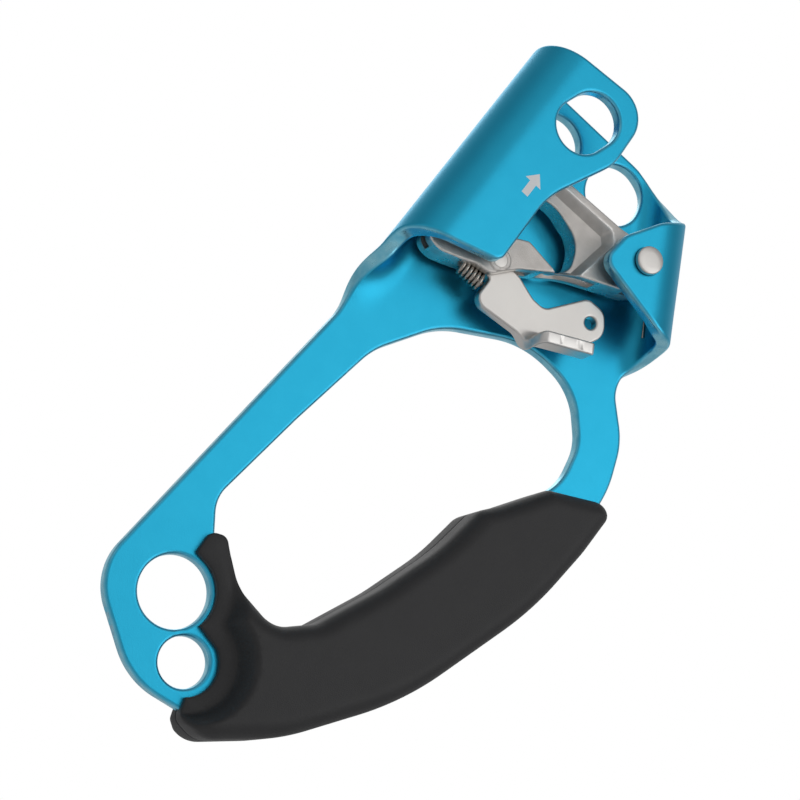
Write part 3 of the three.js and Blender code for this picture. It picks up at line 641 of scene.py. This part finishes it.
# %% A lathe
def eased(profile, r=0.25):
    """The profile with each inner corner replaced by a short curve."""
    points = [np.array(profile[0], float)]
    for before, corner, after in zip(profile, profile[1:], profile[2:]):
        corner = np.array(corner, float)
        inward, outward = np.array(before) - corner, np.array(after) - corner
        reach = min(r, 0.45 * np.linalg.norm(inward), 0.45 * np.linalg.norm(outward))
        start = corner + inward / np.linalg.norm(inward) * reach
        end = corner + outward / np.linalg.norm(outward) * reach
        points += [(1 - t) ** 2 * start + 2 * t * (1 - t) * corner + t * t * end for t in (0, 0.25, 0.5, 0.75, 1)]
    return np.array([*points, np.array(profile[-1], float)])


def turned(name, centre, profile, material, sides=56, closed=False, r=0.25):
    """A profile of (radius, y) spun about an axis along y through centre (x, z)."""
    loop = eased([*profile, profile[0], profile[1]], r)[1:-1] if closed else eased(profile, r)
    angles = np.linspace(0, 2 * math.pi, sides, endpoint=False)
    vertices, rings = [], []
    for radius, y in loop:
        if radius < 1e-6:
            rings.append([len(vertices)] * sides)
            vertices.append((centre[0], y, centre[1]))
        else:
            rings.append(list(range(len(vertices), len(vertices) + sides)))
            vertices += [(centre[0] + radius * math.cos(a), y, centre[1] + radius * math.sin(a)) for a in angles]
    faces = []
    pairs = list(zip(rings, rings[1:])) + ([(rings[-1], rings[0])] if closed else [])
    for one, other in pairs:
        for k in range(sides):
            face = [one[k], one[(k + 1) % sides], other[(k + 1) % sides], other[k]]
            face = [v for i, v in enumerate(face) if v not in face[:i]]
            if len(face) > 2:
                faces.append(face)
    return piece_of(name, vertices, faces, material)


# %% Cam rivet, washers, bushing and trigger pin
RIVET_UNDER = BACK_FACE + 0.05
rivet = turned("rivet", PIVOT, [
    (0, -RIVET_UNDER - 1.85), (2.2, -RIVET_UNDER - 1.8), (3.65, -RIVET_UNDER - 1.6), (3.65, -RIVET_UNDER),
    (2.75, -RIVET_UNDER), (2.75, RIVET_UNDER), (3.65, RIVET_UNDER), (3.65, RIVET_UNDER + 1.1),
    (0, RIVET_UNDER + 1.6),
], smooth_steel, r=0.45)
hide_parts("cam_rivet")
washers = []
for side, node in ((-1, "cam_washer_front"), (1, "cam_washer_rear")):
    washer = turned(node.replace("cam_", "turned_"), PIVOT, [
        (3.05, side * 5.8), (4.5, side * 5.8), (4.5, side * 6.35), (3.05, side * 6.35),
    ], smooth_steel, closed=True, r=0.15)
    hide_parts(node)
    washers.append(washer)
bushing = turned("bushing", PIVOT, [(3.05, -5.6), (4.05, -5.6), (4.05, 5.6), (3.05, 5.6)], spring_steel,
                 closed=True)
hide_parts("cam_bushing")
pin = turned("pin", PIN, [
    (0, -5.05), (2.0, -5.0), (2.0, -3.9), (1.2, -3.9), (1.2, 4.8), (2.0, 4.8), (2.0, 5.5), (0, 5.5),
], smooth_steel)
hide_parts("trigger_pin")
for piece, slot_name, body in (
    (rivet, "polished_steel", "chassis"),
    (washers[0], "polished_steel", "chassis"),
    (washers[1], "polished_steel", "chassis"),
    (bushing, "spring_steel", "cam_body"),
    (pin, "polished_steel", "cam_body"),
):
    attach(piece, body)

# %% [markdown]
# ## The cam
# The cam is a steel casting, blasted grey, with its sharp edges rubbed bright and a painted highlight on them as
# well. Its front has a pocket with sloping walls that saves weight, and a large window. The pocket is two outlines,
# its rim and its floor: between them the height changes evenly with the distance from one and the other.

# %% Outlines of the cam
CAM_HALF = 4.5
toothed = [(13, 4.6, 3), (8.6, 0, 14), (1.7, -13, 40), (-4, -26.5, 10), (-4.7, -32.6, 4.2)]
cam_outline = rounded([
    *toothed, (0, -34.2, 6), (6.5, -31.6, 12), (10.2, -29.8, 3), (14.5, -29.2, 3.5), (19.2, -23.2, 8),
    (31.4, -13.8, 30), arc(PIVOT, 7, -62, 92), (35, 5.4, 12),
], 0.6)
cam_window = rounded([
    (10.5, -3.2, 3), (18, -1.6, 12), (28, -4.6, 9), (31, -12.4, 4), (27, -16.4, 2.5), (17.4, -15.2, 2),
    (13.6, -17.4, 2), (7, -14, 3),
], 0.6)
pocket_floor = rounded([
    (11, 0.6, 1), (31.9, 0.8, 0.5), (33.4, -0.8, 0.5), (31.2, -13, 1.2), (27, -16.5, 1), (12, -10, 1),
], 0.4)
pocket_rim = rounded([
    (11, 2.6, 1), (32.7, 3.1, 1.8), (35.5, 0.5, 1.8), (32.9, -13.2, 1.8), (28, -17.2, 1), (12, -10, 1),
], 0.4)
print("cam", np.round(cam_outline.min(0), 1), np.round(cam_outline.max(0), 1))

# %% Front and rear of the cam
POCKET_DEPTH, BOSS_R, BOSS_RISE, PIN_RING_R, PIN_RING_RISE = 2.6, 5.9, 1.1, 3.1, 0.35


def boss_share(points):
    """1 on the boss round the pivot, falling to 0 at its foot."""
    return np.clip((BOSS_R - np.linalg.norm(points - PIVOT, axis=1)) / 0.6, 0, 1)


def cam_front(points):
    """The pocket is cut in, and the boss and the ring round the trigger's pin stand out."""
    to_floor = np.maximum(-depth_in(points, pocket_floor), 0)
    to_rim = np.maximum(depth_in(points, pocket_rim), 0)
    share = np.where(to_rim > 0, to_rim / np.maximum(to_rim + to_floor, 1e-6), 0)
    ring = np.clip((PIN_RING_R - np.linalg.norm(points - PIN, axis=1)) / 0.4, 0, 1)
    return -CAM_HALF + POCKET_DEPTH * share - BOSS_RISE * boss_share(points) - PIN_RING_RISE * ring


def cam_rear(points):
    return CAM_HALF + BOSS_RISE * boss_share(points)


inside_rim = moved_in(pocket_rim, -0.3 if area(pocket_rim) < 0 else 0.3)
creases = [pocket_rim, inside_rim, pocket_floor, circle(PIVOT, BOSS_R), circle(PIVOT, 5.3),
           circle(PIN, PIN_RING_R, 0.5), circle(PIN, 2.7, 0.5)]
# The pocket's rim is given as an extra outline for the bright edge colour: a painted highlight along it, with the
# wear of a rubbed edge.
cam_piece = sheet("toothed_cam", cam_outline, cast_steel, cam_front, cam_rear, [cam_window, circle(PIVOT, 4.35)],
                  edge=0.5, spacing=0.7, rows=4, creases=creases, worn_and_highlit=[pocket_rim])
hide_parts("cam")
print("cam sheet made")


# %% Slots cut in the cam
def cut(piece, name, points, front, rear):
    """Cuts a straight slot of the outline given as (x, z) points out of a piece, between two heights of y."""
    n = len(points)
    vertices = [(x, front, z) for x, z in points] + [(x, rear, z) for x, z in points]
    walls = [(i, (i + 1) % n, (i + 1) % n + n, i + n) for i in range(n)]
    cutter = piece_of(name, vertices, [range(n), range(2 * n - 1, n - 1, -1), *walls], cast_steel, smooth=False)
    modifier = piece.modifiers.new(name, "BOOLEAN")
    modifier.operation, modifier.object, modifier.solver = "DIFFERENCE", cutter, "EXACT"
    shape = bpy.data.meshes.new_from_object(piece.evaluated_get(bpy.context.evaluated_depsgraph_get()))
    piece.modifiers.clear()
    old = piece.data
    piece.data = shape
    bpy.data.meshes.remove(old)
    bpy.data.objects.remove(cutter)


fork = [(10.4, -20.8), (12, -20.2), (24.5, -20.2), (24.5, -34), (9, -34), (9.6, -29)]
cut(cam_piece, "mud_slot", [(-9, -30), (-3, -36), (0.5, -31), (9, -5), (3, -2)], -1.3, 1.3)
cut(cam_piece, "trigger_fork", fork, -1.9, 1.9)
cut(cam_piece, "coil_recess", circle(PIVOT, 7.25)[::-1], -4.9, -1.0)
lower_recess = [(26.5, -20.5), (24.5, -17.6), (34.6, -10.4), (38, -9.6), (38, -16)]
cut(cam_piece, "lower_recess", lower_recess, -2.0, 2.0)
boss = turned("cam_boss", PIVOT, [(4.35, -5.6), (5.0, -5.6), (5.0, -0.9), (4.35, -0.9)], cast_steel, closed=True)
for piece in (cam_piece, boss):
    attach(piece, "cam_body")
cam_piece.data.set_sharp_from_angle(angle=math.radians(32))
print("cam:", len(cam_piece.data.polygons), "faces")

# %% [markdown]
# ## Geometry Nodes for what repeats
# The cam's teeth are one spike thirty-two times, and the grip's screws are one screw three times. Each is made by a
# tree that puts a pattern on each point of a mesh, and the teeth's tree also turns each spike to a direction that
# its point carries. The springs are wire along a path, which is one more tree. Each tree has named inputs for its
# sizes and ends in real geometry.


# %% Helpers for the trees
def tree_with(name, inputs):
    """A Geometry Nodes tree with a geometry input, more named inputs, and a geometry output."""
    tree = bpy.data.node_groups.new(name, "GeometryNodeTree")
    tree.interface.new_socket("Geometry", in_out="INPUT", socket_type="NodeSocketGeometry")
    for label, kind, default in inputs:
        socket = tree.interface.new_socket(label, in_out="INPUT", socket_type=kind)
        if default is not None:
            socket.default_value = default
    tree.interface.new_socket("Geometry", in_out="OUTPUT", socket_type="NodeSocketGeometry")
    return tree, tree.nodes.new("NodeGroupInput").outputs, tree.nodes.new("NodeGroupOutput").inputs


def ended(tree, geometry, material, result):
    """Realize Instances, smooth faces and Set Material, then the output."""
    real = wired(tree, "GeometryNodeRealizeInstances", Geometry=geometry)
    soft = wired(tree, "GeometryNodeSetShadeSmooth", Geometry=real.outputs[0])
    painted = wired(tree, "GeometryNodeSetMaterial", Geometry=soft.outputs[0], Material=material)
    tree.links.new(painted.outputs[0], result["Geometry"])


def grown_by(tree, name, mesh, values):
    """Runs a tree on a mesh with named values, and returns a plain mesh object."""
    seed = bpy.data.objects.new(name, mesh)
    bpy.context.collection.objects.link(seed)
    modifier = seed.modifiers.new(name, "NODES")
    modifier.node_group = tree
    identifiers = {item.name: item.identifier for item in tree.interface.items_tree if item.in_out == "INPUT"}
    for label, value in values.items():
        modifier[identifiers[label]] = value
    shape = bpy.data.meshes.new_from_object(seed.evaluated_get(bpy.context.evaluated_depsgraph_get()))
    seed.modifiers.clear()
    seed.data = shape
    print(f"{name}: {len(shape.polygons)} faces from {len(mesh.vertices)} points")
    return seed


# %% Teeth
studded, given, result = tree_with("spikes_on_points", [
    ("Root Radius", FLOAT, 0.0009), ("Height", FLOAT, 0.0017), ("Material", "NodeSocketMaterial", None),
])
tooth = wired(studded, "GeometryNodeMeshCone", Vertices=14, Side_Segments=4, Radius_Bottom=given["Root Radius"],
              Radius_Top=0.00012, Depth=given["Height"])
facing = wired(studded, "GeometryNodeInputNamedAttribute", {"data_type": "FLOAT_VECTOR"}, Name="facing")
turned_to = wired(studded, "FunctionNodeAlignRotationToVector", {"axis": "Z"}, Vector=facing.outputs["Attribute"])
placed = wired(studded, "GeometryNodeInstanceOnPoints", Points=given["Geometry"], Instance=tooth.outputs["Mesh"],
               Rotation=turned_to.outputs["Rotation"])
ended(studded, placed.outputs["Instances"], given["Material"], result)


def points_mesh(name, places, directions):
    mesh = bpy.data.meshes.new(name)
    mesh.from_pydata((np.array(places) * MM).tolist(), [], [])
    facing_data = mesh.attributes.new("facing", "FLOAT_VECTOR", "POINT").data
    facing_data.foreach_set("vector", np.array(directions, np.float32).ravel())
    return mesh


face_line = rounded(toothed + [(20, -30, 0), (20, 4, 0)], 0.4)
on_cam = to_outline(face_line, cam_outline) < 0.02
line = face_line[(face_line[:, 0] < 12) & (face_line[:, 1] > -29) & (face_line[:, 1] < 2.4) & on_cam]
line = line[np.argsort(-line[:, 1])]
run = np.concatenate([[0], np.cumsum(np.linalg.norm(np.diff(line, axis=0), axis=1))])
TOOTH_ROWS, TOOTH_SUNK = 11, 0.25
places, directions = [], []
for k in range(TOOTH_ROWS):
    s = run[-1] * (k + 0.5) / TOOTH_ROWS
    point = np.array([np.interp(s, run, line[:, i]) for i in (0, 1)])
    ahead_point = np.array([np.interp(s + 0.5, run, line[:, i]) for i in (0, 1)])
    way = (ahead_point - point) / np.linalg.norm(ahead_point - point)
    outward = np.array([way[1], -way[0]])
    for y in (-3.4, -2.0, 2.0, 3.4) if k % 2 else (-2.7, 2.7):
        places.append((point[0] - TOOTH_SUNK * outward[0], y, point[1] - TOOTH_SUNK * outward[1]))
        directions.append((outward[0], 0, outward[1]))
teeth = grown_by(studded, "cam_teeth", points_mesh("tooth_points", places, directions),
                 {"Root Radius": 0.00075, "Height": 0.0017, "Material": cast_steel})
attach(teeth, "cam_body")


# %% Wire along a path
wire_tree, given, result = tree_with("wire_along_path", [
    ("Wire Radius", FLOAT, 0.0004), ("Sides", "NodeSocketInt", 12), ("Material", "NodeSocketMaterial", None),
])
path = wired(wire_tree, "GeometryNodeMeshToCurve", Mesh=given["Geometry"])
section = wired(wire_tree, "GeometryNodeCurvePrimitiveCircle", Resolution=given["Sides"],
                Radius=given["Wire Radius"])
drawn = wired(wire_tree, "GeometryNodeCurveToMesh", Curve=path.outputs[0], Profile_Curve=section.outputs["Curve"],
              Fill_Caps=True)
ended(wire_tree, drawn.outputs[0], given["Material"], result)


def path_mesh(name, points):
    mesh = bpy.data.meshes.new(name)
    mesh.from_pydata((np.array(points) * MM).tolist(), [(i, i + 1) for i in range(len(points) - 1)], [])
    return mesh


turns = np.linspace(0, 2 * math.pi * 6, 200)
coil = np.stack([7.6 + 7 * turns / turns[-1], 1.95 * np.cos(turns), -31 + 1.95 * np.sin(turns)], 1)
trigger_coil = grown_by(wire_tree, "trigger_coil", path_mesh("coil_path", coil),
                        {"Wire Radius": 0.0005, "Sides": 12, "Material": spring_steel})
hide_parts("trigger_spring")
turns = math.radians(28.3) + np.linspace(0, 2 * math.pi * 3, 130)
coil = np.stack([PIVOT[0] + 5.75 * np.cos(turns), np.linspace(-1.7, -4.4, 130), 5.75 * np.sin(turns)], 1)
leg = np.array([(56.6, -2.0, -12.4), (50.6, -1.8, -1.2)])
cam_coil = grown_by(wire_tree, "cam_coil", path_mesh("cam_coil_path", np.concatenate([leg, coil])),
                    {"Wire Radius": 0.00045, "Sides": 12, "Material": spring_steel})
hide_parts("cam_spring")
for piece, body in ((trigger_coil, "cam_body"), (cam_coil, "chassis")):
    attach(piece, body)

# %% [markdown]
# ## The trigger
# The trigger is 3.2 mm sheet steel with a tab folded forwards for the thumb, and a hole for a pull cord. It
# is made as the frame was: flat first, then the tab is rolled a quarter turn, with the fold dying out at
# the tab's left end.

# %% The flat trigger and its fold
TRIGGER_HALF, TAB_MID = 1.6, 2.3
TAB_WAY = np.array([math.cos(EAR_LEAN), math.sin(EAR_LEAN)])
TAB_DOWN = np.array([TAB_WAY[1], -TAB_WAY[0]])
tab_line = np.array([35.6, -34.4]) - TAB_DOWN * (TRIGGER_HALF + TAB_MID)


def on_tab(along, down, r):
    return (*(tab_line + along * TAB_WAY + down * TAB_DOWN), r)


flat_trigger = rounded([
    arc(PIN, 3.0, 55, 205, 0.5), (12.6, -28.2, 1.5), (15.7, -29, 1), (15.7, -36.4, 3), on_tab(-5.5, 1.5, 4),
    on_tab(-0.8, 9.2, 2.5), on_tab(13.3, 9.2, 1), on_tab(13.3, 0.2, 0.6), (48.4, -19, 4.5), (44.8, -14, 3.5),
    (39.2, -14.2, 3), (31.6, -24.9, 3), (27.6, -24.9, 5), (21.8, -23, 2),
], 0.5)


def tab_folded(v):
    """Rolls what is below the tab's line forwards by a quarter turn."""
    out = v.copy()
    offset = v[:, [0, 2]] - tab_line
    along, down = offset @ TAB_WAY, offset @ TAB_DOWN
    share = strength(along, (0.5, -6.5))
    moves = (down > 0) & (share > FLAT)
    height = v[moves, 1] + TAB_MID
    reach, depth = roll(down[moves], height, share[moves], TAB_MID, math.pi / 2)
    place = tab_line + along[moves, None] * TAB_WAY + reach[:, None] * TAB_DOWN
    out[moves, 0], out[moves, 1], out[moves, 2] = place[:, 0], depth - TAB_MID, place[:, 1]
    return out


tab_rows = [np.array([on_tab(along, down, 0)[:2] for along in np.arange(-7, 13, 0.5)])
            for down in np.arange(0.1, math.pi / 2 * TAB_MID + 1.2, 0.4)]
folded_trigger = sheet("folded_trigger", flat_trigger, smooth_steel, -TRIGGER_HALF, TRIGGER_HALF,
                       [circle((43.3, -19), 1.6, 0.3), circle(PIN, 1.5, 0.35)], edge=0.55, spacing=0.8,
                       extra=tab_rows, bend=tab_folded)
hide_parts("trigger")
angles = np.linspace(0, 2 * math.pi, 16, endpoint=False)
round_end = [(x, r * math.cos(a), -31 + r * math.sin(a)) for x, r in ((12.0, 0.5), (12.3, 0.75), (15.3, 0.75))
             for a in angles]
walls = [(i + k, (i + 1) % 16 + k, (i + 1) % 16 + k + 16, i + k + 16) for i in range(16) for k in (0, 16)]
peg = piece_of("peg", round_end, [range(16), range(47, 31, -1), *walls], smooth_steel)
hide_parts("spring_guide")
for piece in (folded_trigger, peg):
    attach(piece, "trigger_body")

# %% [markdown]
# ## The grip's screws
# Three socket screws pull the rear shell against inserts in the front shell. One screw is turned and given
# a six-sided socket, and a tree sets it on three points.

# %% One screw, three times
screw_head = [(0, 16.4), (1.15, 16.4), (1.15, 18.2), (3.5, 18.2), (3.5, 15.6), (2.0, 15.4), (2.0, 0.9), (0, 0.9)]
pattern = turned("screw_pattern", (0, 0), [(r, y) for r, y in screw_head], smooth_steel, sides=24, r=0.3)
for vertex in pattern.data.vertices:
    x, y, z = vertex.co / MM
    if math.hypot(x, z) < 1.5 and y > 16:
        a = math.atan2(z, x)
        sixth = (a % (math.pi / 3)) - math.pi / 6
        vertex.co.x, vertex.co.z = x / math.cos(sixth) * MM, z / math.cos(sixth) * MM
set_tree, given, result = tree_with("pattern_on_points", [
    ("Pattern", "NodeSocketObject", None), ("Material", "NodeSocketMaterial", None),
])
wanted = wired(set_tree, "GeometryNodeObjectInfo", Object=given["Pattern"], As_Instance=True)
placed = wired(set_tree, "GeometryNodeInstanceOnPoints", Points=given["Geometry"],
               Instance=wanted.outputs["Geometry"])
ended(set_tree, placed.outputs["Instances"], given["Material"], result)
screws = grown_by(set_tree, "grip_screws",
                  points_mesh("screw_points", [(x, 0, z) for x, z in screw_places], [(0, 1, 0)] * 3),
                  {"Pattern": pattern, "Material": smooth_steel})
bpy.data.objects.remove(pattern)
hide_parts("grip_screw_1", "grip_screw_2", "grip_screw_3")
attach(screws, "chassis")

# %% Finishes for the CAD pieces that stay
for node, material in {"grip_insert_1": brass, "grip_insert_2": brass, "grip_insert_3": brass}.items():
    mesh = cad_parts[node].data
    mesh.materials.clear()
    mesh.materials.append(material)
print("brass on the inserts")
